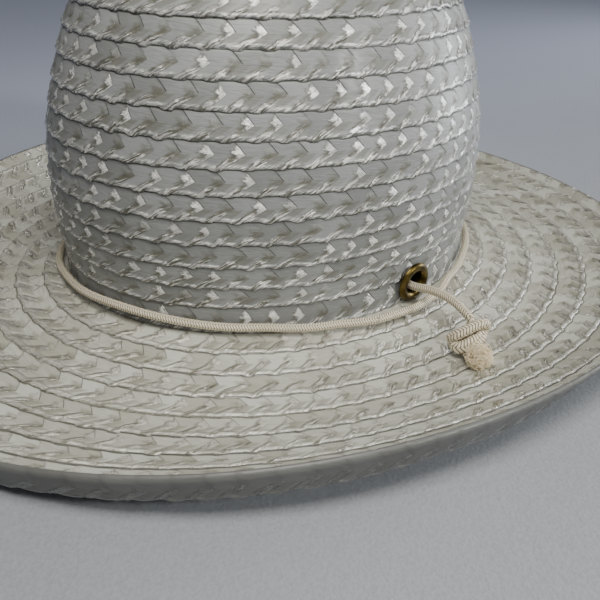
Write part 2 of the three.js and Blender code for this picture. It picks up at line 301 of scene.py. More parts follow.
floor_look = Look("floor_cloth", (0.42, 0.44, 0.49), 0.95)
floor_spot = floor_look.node("ShaderNodeTexCoord", output=3)
floor_grain = floor_look.noise(floor_spot, 900.0, 3.0)
floor_cloud = floor_look.noise(floor_spot, 6.0, 2.0)
floor_x = floor_look.node("ShaderNodeSeparateXYZ", None, {0: floor_spot})
floor_tone = floor_look.rise(floor_grain * 0.6 + floor_cloud * 0.4, 0.3, 0.7)
floor_near = floor_look.mix(floor_tone, FLOOR_DARK, FLOOR_LIGHT)
# painted light far behind the hat
floor_color = floor_look.mix(floor_look.rise(floor_x, FAR_FROM, FAR_TO), floor_near, FLOOR_FAR)
floor_look.feed(floor_look.shader.inputs["Base Color"], floor_color)
floor_look.bump(floor_grain, 0.0004, 0.6)
floor_mesh = bpy.data.meshes.new("floor")
corners = [(-1, -1), (1, -1), (1, 1), (-1, 1)]
floor_corners = [(x * FLOOR_HALF, y * FLOOR_HALF, FLOOR_TOP) for x, y in corners]
floor_mesh.from_pydata(floor_corners, [], [(0, 1, 2, 3)])
floor = bpy.data.objects.new("floor", floor_mesh)
floor_mesh.materials.append(floor_look.material)
bpy.context.scene.collection.objects.link(floor)
print("floor at", FLOOR_TOP)

# %% [markdown]
# ## The plait
#
# The strips cross in chevrons that point to the right. One repeat of a row has a smooth flat
# panel, which starts at a slanting edge in the upper half, and a crinkled strip, which comes out
# under the next panel at mid-row as a bright square and runs down to the left, where it folds
# round the row's lower edge, the selvedge. Every strip could be modelled and woven, with some
# thousands of crossings. One formula on two coordinates is much lighter, and it keeps the relief,
# made here with numpy, and the colours, made later in the shader, in step: u counts repeats along
# the row, and v goes from 0 under the upper row to 1 at the selvedge.

# %% Plait pattern
PLAIT = {
    "middle": 0.46,  # v of the chevron's point
    "upper_slant": 0.36,  # repeats that the upper edge leans
    "lower_slant": 0.72,  # repeats that the lower edge leans
    "strip": 0.40,  # width of the crinkled strip, in repeats
    "repeat": 10.6,  # mm along the row
}


def smooth(x, start, end):
    """0 up to start, 1 from end, and 3t^2 - 2t^3 between."""
    t = np.clip((x - start) / (end - start), 0.0, 1.0)
    return t * t * (3.0 - 2.0 * t)


print("rows repeat every", PLAIT["repeat"], "mm")


# %% Chance and noise
def hashed(i, j, seed):
    """A fixed number from 0 to 1 for each pair of whole numbers, by mixing their bits."""
    i, j = (np.asarray(whole).astype(np.int64) for whole in (i, j))
    h = (i * 374761393 + j * 668265263 + seed * 144269) & 0xFFFFFFFF
    h = ((h ^ (h >> 13)) * 1274126177) & 0xFFFFFFFF
    h = ((h ^ (h >> 16)) * 2246822519) & 0xFFFFFFFF
    return ((h ^ (h >> 15)) & 0xFFFFFF) / float(0xFFFFFF)


def noise(x, y, period, seed):
    """Smooth noise from -1 to 1: hashed corners of a unit grid, blended, repeating in x."""
    i, j = np.floor(x), np.floor(y)
    fx, fy = x - i, y - j
    fx, fy = fx * fx * (3 - 2 * fx), fy * fy * (3 - 2 * fy)
    i0, i1 = np.mod(i, period), np.mod(i + 1, period)
    low = hashed(i0, j, seed) * (1 - fx) + hashed(i1, j, seed) * fx
    high = hashed(i0, j + 1, seed) * (1 - fx) + hashed(i1, j + 1, seed) * fx
    return (low * (1 - fy) + high * fy) * 2.0 - 1.0


# %% Relief of the plait
def plait_phase(u, v):
    """Whole repeat and place in it: u shifted by the lean of the chevron's edge at this v."""
    upper = PLAIT["upper_slant"] * (PLAIT["middle"] - v) / PLAIT["middle"]
    lower = PLAIT["lower_slant"] * (v - PLAIT["middle"]) / (1.0 - PLAIT["middle"])
    a = u + np.maximum(upper, lower)
    return np.floor(a), a - np.floor(a)


def plait_relief(u, v, row, count):
    """Height of the plait over its row surface in mm: panels fall from their edge at phase 0,
    crinkled strips lie lower, with a raised square at mid-row and a raised fold at the selvedge."""
    cell, p = plait_phase(u, v)
    cell = np.mod(cell, count)
    chance = hashed(cell, row, 3)
    other = hashed(cell, row, 5)
    panel = (0.20 + 0.14 * chance) * (1.0 - p) ** 0.8 + 0.07 * np.sin(math.pi * p)
    strip = smooth(p, 1.0 - PLAIT["strip"], 1.06 - PLAIT["strip"]) * smooth(v, 0.2, 0.3)
    crinkle = noise(u * 7.0, row * 31.0 + v * 9.0, count * 7, 11)
    crinkle += 0.6 * noise(u * 13.0 + v * 7.0, row * 57.0 + v * 15.0, count * 13, 12)
    square = smooth(v, 0.24, 0.33) * smooth(v, 0.60, 0.50)
    fold = smooth(v, 0.74, 0.9)
    low = 0.02 + 0.30 * square * (0.4 + other) + 0.30 * fold * (0.5 + chance)
    low = low + crinkle * (0.13 + 0.03 * square + 0.12 * fold)
    wave = 0.05 * noise(u * 1.0, row * 3.0 + v, count, 13)
    return panel * (1.0 - strip) + low * strip + wave


def selvedge_shift(u, row, count):
    """How far a row's lower edge hangs past its line, in mm: it bulges where a strip folds
    round it and steps back up where the next panel starts, and wanders slowly."""
    cell, p = plait_phase(u, 1.0)
    strip = smooth(p, 0.5, 0.68) * smooth(p, 1.0, 0.93)
    slow = noise(u * 0.31, row * 5.0 + 0.5, max(1, round(count * 0.31)), 21)
    return 0.62 * strip * (0.5 + hashed(np.mod(cell, count), row, 5)) + 0.38 * slow


sample_u, sample_v = np.meshgrid(np.linspace(0.0, 50.0, 1000), np.linspace(0.0, 1.0, 40))
sample_relief = plait_relief(sample_u, sample_v, 9, 50)
print("plait relief", sample_relief.min().round(2), "to", sample_relief.max().round(2), "mm")

# %% Samples down one row
# v, and the lift of the row's surface over its line as a share of the selvedge's height. The
# last two samples round the edge.
ROW_V = np.array([
    0.0, 0.05, 0.12, 0.19, 0.26, 0.33, 0.40, 0.48, 0.56, 0.64, 0.72, 0.80, 0.88, 0.945, 0.985,
])
ROW_LIFT = np.interp(ROW_V, [0.0, 0.5, 0.8, 0.93, 0.96, 0.985], [0.10, 0.42, 0.72, 1.0, 0.95, 0.62])
TUCK = 0.09  # v that a piece's first row starts higher, under the row before it
SELVEDGE = 0.9  # mm, the selvedge's height
RELIEF_FADE = np.interp(ROW_V, [0.0, 0.05, 0.9, 0.985], [0.15, 1.0, 1.0, 0.6])


def row_samples(row, first):
    """Samples of v for a row: the first row of a piece starts TUCK higher, except for row 1,
    which has no row before it."""
    if row > first or row == 1:
        return ROW_V
    return np.concatenate([[ROW_V[0] - TUCK], ROW_V[1:]])


print("samples a row", len(ROW_V))

# %% [markdown]
# ## Closed rings of straw
#
# Every straw piece is a closed ring: an outer skin of some rows, sampled finely, and a plainer
# inner skin, joined at both ends. A flat sheet with a Solidify modifier could give the wall too,
# but its inner side would repeat the relief. One function takes the grids of points and plait
# coordinates and makes the mesh, so crown and brim differ only in where their row lines lie.


# %% Mesh from a grid
def grid_object(name, points, coordinates, closed_profile=True):
    """A mesh from points (profile steps, columns, 3) in metres, with columns wrapped round and
    the profile closed on itself if asked, and a UV map from coordinates (steps, columns + 1,
    2). Face (k, j) joins steps k and k + 1 with columns j and j + 1."""
    steps, columns = points.shape[:2]
    last = steps if closed_profile else steps - 1
    k, j = np.meshgrid(np.arange(last), np.arange(columns), indexing="ij")
    k2, j2 = (k + 1) % steps, (j + 1) % columns
    quads = np.stack([k * columns + j, k2 * columns + j, k2 * columns + j2, k * columns + j2], -1)
    quads = quads.reshape(-1, 4)
    uv = np.stack(
        [coordinates[k, j], coordinates[k2, j], coordinates[k2, j + 1], coordinates[k, j + 1]], 2
    )
    mesh = bpy.data.meshes.new(name)
    mesh.vertices.add(steps * columns)
    mesh.vertices.foreach_set("co", points.reshape(-1).astype(np.float32))
    mesh.loops.add(quads.size)
    mesh.loops.foreach_set("vertex_index", quads.reshape(-1).astype(np.int32))
    mesh.polygons.add(len(quads))
    mesh.polygons.foreach_set("loop_start", (np.arange(len(quads)) * 4).astype(np.int32))
    mesh.polygons.foreach_set("use_smooth", np.full(len(quads), True))
    mesh.uv_layers.new(name="plait")
    mesh.uv_layers["plait"].data.foreach_set("uv", uv.reshape(-1).astype(np.float32))
    mesh.update(calc_edges=True)
    mesh.validate()
    made = bpy.data.objects.new(name, mesh)
    bpy.context.scene.collection.objects.link(made)
    print(name, len(quads) * 2, "triangles")
    return made


# %% The oval of the hat
LENGTH_FACTOR = 1.099  # front to back, against the mean radius
WIDTH_FACTOR = 0.901
BASE_HEIGHT = 16.4  # mm, the crown's last wall line above the table
SEAM = math.radians(215.0)  # where the columns start, at the back on the right


def oval_turns(columns):
    """Angles of the columns and the share of the way round the oval up to each: the arc length
    of an oval with these two factors, added up from the seam."""
    fine = np.linspace(0.0, 2 * math.pi, 2881) + SEAM
    speed = np.hypot(WIDTH_FACTOR * np.sin(fine), LENGTH_FACTOR * np.cos(fine))
    way = np.concatenate([[0.0], np.cumsum((speed[1:] + speed[:-1]) / 2)])
    way = way / way[-1]
    share = np.arange(columns + 1) / columns
    return np.interp(share, way, fine), share


def row_coordinate(share, row, radius):
    """u along a row in repeats, with uneven repeats: whole repeats in all, a start of its own
    and a gentle stretch and squeeze. Also the number of repeats."""
    count = max(3, round(2 * math.pi * radius / PLAIT["repeat"]))
    start = float(hashed(np.array([row]), np.array([7]), 1)[0])
    u = share * count
    uneven = 0.16 * noise(u * 0.5 + start, np.full_like(u, row * 3.3), max(1, count // 2), 31)
    uneven += 0.07 * noise(u, np.full_like(u, row * 5.7), count, 32)
    uneven[-1] = uneven[0]
    return u + start + uneven, count


print("the oval is", round(LENGTH_FACTOR / WIDTH_FACTOR, 3), "times as long as wide")

# %% [markdown]
# ## The crown
#
# The crown is a wall of rows that stand nearly upright, and a dome of rows that lie flatter and
# flatter. It could be one curve turned about the middle, with the rows drawn on by a bump, but
# their lapped edges cast real shadows. So each row line is a ring with a mean radius and a
# height, measured in the photograph, and the skin between two lines has the plait's relief. The
# tip lies past the photograph's edge and is a plain dome.

# %% Crown rows
CROWN_ROWS = np.array([
    (0.0, 135.7), (7.6, 135.5), (17.7, 135.2), (27.8, 134.3), (37.7, 132.4), (47.3, 129.0),
    (56.2, 124.2), (64.0, 117.9), (70.3, 110.3), (75.2, 101.8), (79.0, 92.8), (82.2, 83.6),
    (85.2, 74.2), (87.8, 64.8), (89.8, 55.3), (91.0, 45.9), (91.6, 36.4), (91.9, 27.1),
    (91.7, 18.0), (91.0, 9.0), (90.1, 0.0), (90.6, -11.0),
])  # mean radius and height of each row's lower edge over BASE_HEIGHT, from the tip down, in mm
FOOT_HEIGHT = -11.0  # mm, the crown's foot against BASE_HEIGHT
FOOT_SADDLE = 1.0  # mm that the foot lies lower at the sides
CROWN_BACK = 1.15  # mm of straw behind the row line
TIP_RADIUS = 5.0  # mm, least radius that a row's repeats are counted on
BACK_V = np.array([0.08, 0.5, 0.9])  # samples of v down the inner skin
BACK_SLOPE = np.array([0.2, 0.05, -0.15])  # mm that the inner skin tilts over a row

print("crown rows", len(CROWN_ROWS) - 1)


# %% Crown skins
def crown_points(turns, row, v, slide, lift):
    """Points of a crown row at v (steps, 1): from the row line above towards its own, slid on
    along that line and lifted off it, both (steps, columns) in mm. The foot is lowered at the
    sides."""
    above, below = CROWN_ROWS[row - 1], CROWN_ROWS[row]
    step = below - above
    tangent = step / np.hypot(*step)
    radius = above[0] + step[0] * v + tangent[0] * slide - tangent[1] * lift
    height = above[1] + step[1] * v + tangent[1] * slide + tangent[0] * lift
    foot = (FOOT_HEIGHT - FOOT_SADDLE * np.cos(turns) ** 2) / FOOT_HEIGHT
    height = np.where(height < 0, height * foot, height)
    x = WIDTH_FACTOR * radius * np.cos(turns)
    y = LENGTH_FACTOR * radius * np.sin(turns)
    return np.stack([x, y, BASE_HEIGHT + height], -1)


def crown_skin(turns, share, row, samples):
    """Outer skin of one crown row and its plait coordinates: the plait's relief lifts it, and
    two selvedges slide it, its own near v = 1 and the one it hangs from near v = 0."""
    u, count = row_coordinate(share, row, CROWN_ROWS[row][0])
    radius_before = max(CROWN_ROWS[row - 1][0], TIP_RADIUS)
    u_before, count_before = row_coordinate(share, row - 1, radius_before)
    v = samples[:, None]
    grid_u = np.broadcast_to(u, (len(samples), len(share)))
    grid_v = np.broadcast_to(v, grid_u.shape)
    slide = selvedge_shift(u, row, count) * v ** 3
    before = selvedge_shift(u_before, row - 1, count_before)
    slide = slide + before * (1 - np.maximum(v, 0)) ** 6
    relief = plait_relief(grid_u, grid_v, row, count)
    lift = SELVEDGE * ROW_LIFT[:, None] + relief * RELIEF_FADE[:, None]
    return crown_points(turns, row, v, slide, lift), np.stack([grid_u, grid_v + row], -1)


def crown_back(turns, share, row):
    """Inner skin of one crown row: CROWN_BACK behind the row line, tilted a little over the row
    and made uneven by noise."""
    u, count = row_coordinate(share, row, CROWN_ROWS[row][0])
    v = BACK_V[:, None]
    grid_u = np.broadcast_to(u, (len(BACK_V), len(share)))
    uneven = 0.12 * noise(grid_u * 2.0, row * 7.0 + v * 2.0, count * 2, 41)
    lift = -CROWN_BACK + BACK_SLOPE[:, None] - uneven
    grid_v = np.broadcast_to(v + row, grid_u.shape)
    return crown_points(turns, row, v, 0.0, lift), np.stack([grid_u, grid_v], -1)


# %% Crown pieces
def closed_ring(name, parts):
    """A mesh from pairs of points in mm and plait coordinates, one after the other along the
    profile. The points' last column repeats the first and is left out."""
    points = np.concatenate([points for points, _ in parts])[:, :-1]
    return grid_object(name, points * MM, np.concatenate([weave for _, weave in parts]))


def crown_ring(name, first, last, columns):
    """A closed ring of crown rows: their outer skins down, and their inner skins back up."""
    turns, share = oval_turns(columns)
    rows = range(first, last + 1)
    skin = [crown_skin(turns, share, row, row_samples(row, first)) for row in rows]
    back = [crown_back(turns, share, row) for row in rows]
    return closed_ring(name, skin + [(points[::-1], weave[::-1]) for points, weave in back[::-1]])


CROWN_PIECES = {  # first row, last row and columns
    "crown_tip": (1, 4, 220),
    "crown_dome": (5, 9, 500),
    "crown_wall_upper": (10, 15, 620),
    "crown_wall_lower": (16, 21, 620),
}
crown_parts = [crown_ring(name, *values) for name, values in CROWN_PIECES.items()]
print("crown pieces", [part.name for part in crown_parts])

# %% [markdown]
# ## Holes for the eyelets
#
# The brass eyelets sit in round holes punched through the lowest rows. The grid could leave out
# some faces there, but the edge of the hole would have steps. A Boolean with a short rod along
# the eyelet's axis, which faces out of the wall and a little down, cuts a round one.

# %% Places of the eyelets
EYELET = {
    "oval": 14.0,  # degrees round the oval, from the side towards the back
    "height": 13.9,  # mm above the table
    "lean": 2.0,  # degrees that its axis points down
    "radius": 90.8,  # mm, mean radius of the wall there
    "hole": 6.0,  # mm, radius of the hole in the straw
}
DRILL_REACH = 9.0  # mm to either side of the wall
DRILL_SIDES = 32
SIDES = {"left": 1, "right": -1}  # the wearer's sides, by the sign of X


def eyelet_axes(side):
    """Middle, axis and two directions across an eyelet at the left (side 1) or right (-1)."""
    turn_at = math.radians(EYELET["oval"])
    n = np.array([math.cos(turn_at) / WIDTH_FACTOR, math.sin(turn_at) / LENGTH_FACTOR])
    n = n / np.linalg.norm(n)
    lean = math.radians(EYELET["lean"])
    axis = np.array([side * n[0] * math.cos(lean), n[1] * math.cos(lean), -math.sin(lean)])
    middle = np.array([
        side * WIDTH_FACTOR * EYELET["radius"] * math.cos(turn_at),
        LENGTH_FACTOR * EYELET["radius"] * math.sin(turn_at),
        EYELET["height"],
    ])
    first = np.cross([0.0, 0.0, 1.0], axis)
    first = first / np.linalg.norm(first)
    return middle, axis, first, np.cross(axis, first)


print("left eyelet at", np.round(eyelet_axes(1)[0], 1), "mm")


# %% Drill
def drill(piece, side):
    """Cuts a round hole through a piece: a rod with end faces is taken away from it."""
    middle, axis, first, second = eyelet_axes(side)
    sides = DRILL_SIDES
    angle = np.arange(sides) / sides * 2 * math.pi
    ring = first * np.cos(angle)[:, None] + second * np.sin(angle)[:, None]
    ends = [middle + axis * reach + ring * EYELET["hole"] for reach in (-DRILL_REACH, DRILL_REACH)]
    around = [(n, (n + 1) % sides, sides + (n + 1) % sides, sides + n) for n in range(sides)]
    faces = [*around, tuple(range(sides))[::-1], tuple(range(sides, 2 * sides))]
    mesh = bpy.data.meshes.new("drill")
    mesh.from_pydata((np.concatenate(ends) * MM).tolist(), [], faces)
    rod = bpy.data.objects.new("drill", mesh)
    bpy.context.scene.collection.objects.link(rod)
    cut = piece.modifiers.new("eyelet hole", "BOOLEAN")
    cut.operation = "DIFFERENCE"
    cut.solver = "MANIFOLD"
    cut.object = rod
    depsgraph = bpy.context.evaluated_depsgraph_get()
    cut_mesh = bpy.data.meshes.new_from_object(
        piece.evaluated_get(depsgraph), preserve_all_data_layers=True, depsgraph=depsgraph
    )
    piece.modifiers.clear()
    before = len(piece.data.polygons)
    cut_mesh.materials.clear()
    piece.data = cut_mesh
    bpy.data.objects.remove(rod)
    print(piece.name, "faces", before, "to", len(cut_mesh.polygons))


for side in SIDES.values():
    drill(crown_parts[-1], side)

# %% [markdown]
# ## The brim
#
# The brim leaves the crown's foot going down a little, then curls up towards its edge, more at
# the sides than at the front and back, where it rests on the table. Its last row is folded down
# all round as a hem. A flat ring could be bent with a lattice. Here the slope at each distance
# from the foot is given by a formula, and adding up its cosine and sine gives the brim's line, so
# the curl can be set against the photograph by a few angles.

# %% Brim shape
BRIM = {
    "start": 0.2,  # mm out from the crown's foot, tucked against it
    "pitch": 12.1,
    "rows": 7.6,  # rows from the foot to the fold
    "hem": 10.6,
    "back": 1.05,  # straw under the row line
}
BRIM_SLOPE = {  # degrees below level: start - bend * t ** power, t from crown to fold
    "ends": {"start": 8.0, "bend": 30.0, "power": 1.95},
    "sides": {"start": 11.0, "bend": 52.0, "power": 1.3},
}
HEM_TUCK = {  # azimuth from the front: degrees that the hem tucks in from straight down
    0: 34, 20: 26, 40: 12, 65: 8, 85: 16, 105: 34, 130: 38, 180: 34,
}
FOOT_RADIUS = 90.6
FOLD = BRIM["pitch"] * BRIM["rows"]
SLOPE_STEPS = 400  # steps that the slope is added up in
TABLE_GAP = 0.05  # mm, least height over the table


def from_table(table, x):
    """A table's value at x, eased between its entries by 3t^2 - 2t^3."""
    keys = np.array(list(table))
    values = np.array([table[key] for key in keys], float)
    i = np.clip(np.searchsorted(keys, x, "right") - 1, 0, len(keys) - 2)
    t = np.clip((x - keys[i]) / (keys[i + 1] - keys[i]), 0.0, 1.0)
    return values[i] + (values[i + 1] - values[i]) * t * t * (3 - 2 * t)


print("the hem tucks in by", from_table(HEM_TUCK, 90.0), "degrees at the sides")


# %% Brim lines
def brim_lines(turns, reach):
    """Out, up and slope of the brim's row line at each reach (steps) and turn (columns): the
    slope's cosine and sine added up from the crown's foot."""
    side = np.cos(turns) ** 2
    t = (np.arange(SLOPE_STEPS) + 0.5) / SLOPE_STEPS
    slopes = [part["start"] - part["bend"] * t ** part["power"] for part in BRIM_SLOPE.values()]
    slope = np.radians(slopes[0][:, None] * (1 - side) + slopes[1][:, None] * side)
    zero = np.zeros((1, len(turns)))
    out = np.concatenate([zero, np.cumsum(np.cos(slope), 0)]) * FOLD / SLOPE_STEPS
    up = -np.concatenate([zero, np.cumsum(np.sin(slope), 0)]) * FOLD / SLOPE_STEPS
    place = np.clip(reach / FOLD * SLOPE_STEPS, 0, SLOPE_STEPS - 0.001)
    i = np.floor(place).astype(int)
    f = (place - i)[:, None]
    return out[i] * (1 - f) + out[i + 1] * f, up[i] * (1 - f) + up[i + 1] * f, slope[i]


def oval_normal(turns):
    """Unit outward direction across the oval."""
    x, y = np.cos(turns) / WIDTH_FACTOR, np.sin(turns) / LENGTH_FACTOR
    size = np.hypot(x, y)
    return x / size, y / size


def brim_points(turns, reach, lift, shift):
    """Points of the brim: along its row line by reach (steps) plus shift (steps, columns), and
    lift above it. Past the fold the line turns down into the hem, round a small bend."""
    out, up, slope = brim_lines(turns, np.minimum(reach, FOLD))
    nx, ny = oval_normal(turns)
    past = np.maximum(reach - FOLD, 0.0)[:, None]
    fold_out, _, _ = brim_lines(turns, np.array([FOLD]))
    azimuth = np.degrees(np.arctan2(
        WIDTH_FACTOR * FOOT_RADIUS * np.cos(turns) + nx * fold_out,
        -(LENGTH_FACTOR * FOOT_RADIUS * np.sin(turns) + ny * fold_out),
    ))
    down = math.pi / 2 + np.radians(from_table(HEM_TUCK, np.abs(azimuth)))
    bend = smooth(past, 0.0, 2.0)
    angle = slope + (down - slope) * bend
    out = out + np.cos(down) * np.maximum(past - 0.5, 0) + 0.5 * smooth(past, 0.0, 1.5)
    up = up - np.sin(down) * np.maximum(past - 0.5, 0)
    out = out + np.cos(angle) * shift + np.sin(angle) * lift
    up = up - np.sin(angle) * shift + np.cos(angle) * lift
    foot = FOOT_HEIGHT - FOOT_SADDLE * np.cos(turns) ** 2
    z = np.maximum(BASE_HEIGHT + foot + up, TABLE_GAP)
    x = WIDTH_FACTOR * FOOT_RADIUS * np.cos(turns) + nx * out
    y = LENGTH_FACTOR * FOOT_RADIUS * np.sin(turns) + ny * out
    return np.stack([x, y, z], -1)


half_turns = np.array([math.pi / 2, 0.0])
fold_out, fold_up, _ = brim_lines(half_turns, np.array([FOLD]))
print("the fold is", fold_out[0].round(1), "mm out and", fold_up[0].round(1), "mm up, end and side")

# %% Brim skins
BRIM_FIRST = 40  # the brim's rows have the numbers 41 and on in the plait coordinates
HEM_ROW = 60  # and the hem this one
HEM_V = np.array([
    0.0, 0.06, 0.12, 0.2, 0.28, 0.36, 0.44, 0.52, 0.6, 0.68, 0.76, 0.84, 0.92, 0.975,
])
HEM_BACK = np.array([-0.5, 0.6, 1.3, 2.0, 3.0])  # mm past the fold, where the inner skin bends


def brim_skin(turns, share, row, first):
    """Outer skin of one brim row up to the fold, and its plait coordinates, made as a crown
    row's are."""
    number = BRIM_FIRST + row
    radius = FOOT_RADIUS + BRIM["pitch"] * row
    u, count = row_coordinate(share, number, radius)
    u_before, count_before = row_coordinate(share, number - 1, radius - BRIM["pitch"])
    keep = (row - 1 + ROW_V) * BRIM["pitch"] < FOLD
    samples = row_samples(row, first)[keep]
    v = samples[:, None]
    grid_u = np.broadcast_to(u, (len(samples), len(share)))
    grid_v = np.broadcast_to(v, grid_u.shape)
    before = selvedge_shift(u_before, number - 1, count_before) * (row > 1)
    shift = selvedge_shift(u, number, count) * v ** 3 + before * (1 - np.maximum(v, 0)) ** 6
    relief = plait_relief(grid_u, grid_v, number, count)
    lift = SELVEDGE * ROW_LIFT[keep][:, None] + relief * RELIEF_FADE[keep][:, None]
    reach = np.maximum((row - 1 + samples) * BRIM["pitch"], BRIM["start"])
    return brim_points(turns, reach, lift, shift), np.stack([grid_u, grid_v + number], -1)


def hem_skin(turns, share):
    """Outer skin of the hem and its plait coordinates: one more row past the fold, its lower
    edge scalloped by the square of a sine over each repeat and by slow noise."""
    u, count = row_coordinate(share, HEM_ROW, FOOT_RADIUS + FOLD)
    v = HEM_V[:, None]
    grid_u = np.broadcast_to(u, (len(HEM_V), len(share)))
    grid_v = np.broadcast_to(v, grid_u.shape)
    relief = plait_relief(grid_u, grid_v, HEM_ROW, count) * np.interp(v, [0, 0.12], [0.4, 1.0])
    lift = SELVEDGE * np.interp(v, [0, 0.3, 0.9, 0.975], [0.75, 0.6, 1.0, 0.5]) + relief
    _, p = plait_phase(u, 1.0)
    wander = 0.5 * noise(u * 0.5, u * 0, count // 2, 61)
    scallop = 1.1 * np.sin(math.pi * p) ** 2 - 0.5 + wander
    points = brim_points(turns, FOLD + HEM_V * BRIM["hem"], lift, scallop * v ** 4)
    return points, np.stack([grid_u, grid_v + HEM_ROW], -1)


# %% Brim pieces
def brim_back(turns, share, start, end, hem):
    """Inner skin of a brim ring between two distances from the foot, in mm: the straw's thickness
    under the row line, tilted a little over each row and made uneven by noise."""
    u, count = row_coordinate(share, HEM_ROW, FOOT_RADIUS + FOLD)
    under = np.arange(max(start, BRIM["start"]), end, BRIM["pitch"] / 3)
    under = np.unique(np.concatenate([under[under < end - 1.0], [end - 0.35]]))
    if hem:
        under = np.unique(np.concatenate([under, FOLD + HEM_BACK]))
    grid_u = np.broadcast_to(u, (len(under), len(share)))
    rows = np.broadcast_to(under[:, None] / BRIM["pitch"], grid_u.shape)
    lift = -BRIM["back"] - 0.14 * noise(grid_u * 2.0, rows * 2.0, count * 2, 42)
    lift = lift + 0.25 * (rows - np.floor(rows) - 0.5)
    weave = np.stack([grid_u, rows + BRIM_FIRST + 1], -1)
    return brim_points(turns, under, lift, 0.0), weave


def brim_ring(name, first, last, columns, hem=False):
    """A closed ring of brim rows, and the hem after them if asked: the outer skins outward, and
    the inner skin back."""
    turns, share = oval_turns(columns)
    parts = [brim_skin(turns, share, row, first) for row in range(first, last + 1)]
    end = last * BRIM["pitch"]
    if hem:
        parts.append(hem_skin(turns, share))
        end = FOLD + BRIM["hem"]
    points, weave = brim_back(turns, share, (first - 1) * BRIM["pitch"] - 0.3, end, hem)
    return closed_ring(name, [*parts, (points[::-1], weave[::-1])])


brim_parts = [
    brim_ring("brim_inner", 1, 4, 880),
    brim_ring("brim_outer", 5, 8, 1130, hem=True),
]
print("brim pieces", [part.name for part in brim_parts])

# %% [markdown]
# ## The look of the straw
#
# The strips are flat ribbons of fine parallel fibres with a pearly shine. A panel is smooth and
# shines in one piece, and a crinkled strip breaks the light into sparks. A picture of straw could
# be laid on, but it would blur close up and repeat. The shader finds panels and strips with the
# phase formula that made the relief, gives each panel its own tone, and adds the finest fibres as
# a bump. It also paints shade into the creases, slits and crinkles and onto the hem, and paints
# highlights on the sparks and the bright squares.


# %% Where a point lies on the plait
def plait_places(look, crinkle_start):
    """Numbers and masks, by name, for a point of the plait. Row and v come from the UV map, the
    repeat and the place p in it from the phase formula, three chances from the repeat's number,
    and each mask is a smooth step of v or p, made ragged by noise."""
    uv = look.node("ShaderNodeUVMap", {"uv_map": "plait"})
    u = look.node("ShaderNodeSeparateXYZ", None, {0: uv})
    whole = u.other_output(1)
    v = whole.fraction()
    middle = PLAIT["middle"]
    upper = (middle - v) * (PLAIT["upper_slant"] / middle)
    lower = (v - middle) * (PLAIT["lower_slant"] / (1.0 - middle))
    a = u + upper.above(lower)
    p = a.fraction()
    repeat = look.vector(a.floor(), whole.floor())
    three = {"noise_dimensions": "3D"}
    dice = look.node("ShaderNodeTexWhiteNoise", three, {"Vector": repeat}, 1)
    chance = look.node("ShaderNodeSeparateXYZ", None, {0: dice})
    third = chance.other_output(2)

    ragged = (look.noise(look.vector(a * 5.0, whole * 5.0), 1.0, 3.0) - 0.5) * 0.3
    strip = look.rise(p + ragged, 0.90 - PLAIT["strip"], 1.10 - PLAIT["strip"])
    strip = strip * look.rise(v + ragged * 0.5, 0.20, 0.32)
    hem = look.rise(whole, HEM_ROW - 1.0, HEM_ROW - 0.5)
    slit = look.rise(p, 0.04, 0.0) * look.rise(v, 0.5, 0.40) * look.rise(third, 0.1, 0.6)
    # painted shadow: a dark wedge beside the bright square, in the lower half of most repeats
    shadow_wedge = look.rise(p + ragged * 0.3, 0.42, 0.30) * look.rise(third, 0.15, 0.6)
    return SimpleNamespace(
        u=u,
        v=v,
        whole=whole,
        a=a,
        p=p,
        chance=chance,
        other=chance.other_output(1),
        third=third,
        ragged=ragged,
        strip=strip,  # the crinkled strip
        fold=strip * look.rise(v + ragged, crinkle_start, crinkle_start + 0.2),
        edge=look.rise(v + ragged * 0.3, 0.78, 0.88),  # the sewn selvedge
        hem=hem,
        straw=1.0 - hem,
        crease=look.rise(v, 0.06, 0.0) * (1.0 - hem),  # painted shade under the row above, which is also rougher
        slit=slit * (1.0 - hem),  # painted shadow in the gap at a panel's upper edge
        # painted shade where the slit ends at mid-row
        seat=look.rise(p, 0.08, 0.0) * look.rise(v, 0.44, 0.5),
        shadow_wedge=shadow_wedge * look.rise(v, 0.46, 0.52) * look.rise(v, 0.90, 0.80),
    )


# %% Fibres, creases and sparks
def straw_grain(look, at, glint_start):
    """Fine patterns, by name: long fibres along the strip, creases across it, and facets, whose
    tones above glint_start are sparks, where painted highlights go. The patch is the bright square
    at mid-row, a diamond of p and v with ragged sides, in about half the repeats, and it carries a
    painted highlight."""
    fibre_spot = look.vector(at.u * 2.0, at.whole * 17.0 - at.u * 1.6, at.chance * 9.0)
    fibres = look.noise(fibre_spot, 1.0, 3.0, 0.65)
    crease_spot = look.vector(at.a * 8.0, at.whole * 8.0 + at.u * 3.0, at.other * 9.0)
    creased = look.noise(crease_spot, 1.0, 4.0, 0.75)
    facet_spot = look.vector(at.a * 13.0 + creased * 2.4, at.whole * 12.0 + at.u * 4.0)
    flat = {"voronoi_dimensions": "2D"}
    facets = look.node("ShaderNodeTexVoronoi", flat, {"Vector": facet_spot, "Scale": 1.0})
    facet = look.node("ShaderNodeSeparateXYZ", None, {0: facets.other_output(1)})
    sparks = look.rise(facet * 0.5 + creased * 0.7, glint_start, glint_start + 0.16)
    side = (at.v - 0.40 + at.ragged * 0.3).size()
    square = (1.0 - at.p) * 2.5 + side * 3.6 - (creased - 0.5) * 1.6
    patch = look.rise(square, 1.15, 0.85) * (look.rise(at.other, 0.35, 0.75) * at.straw)
    return SimpleNamespace(
        fibres=fibres,
        creased=creased,
        facet=facet,
        sparks=sparks,
        patch=patch,
        crinkled=at.fold.above(at.edge * 0.7).above(patch * 0.6),
    )


# %% Straw material
PAINTED_SHADE_COLOR = (0.07, 0.065, 0.045)
HEM_SHADE_COLOR = (0.088, 0.089, 0.088)  # painted shade on the turned-down strips of the hem
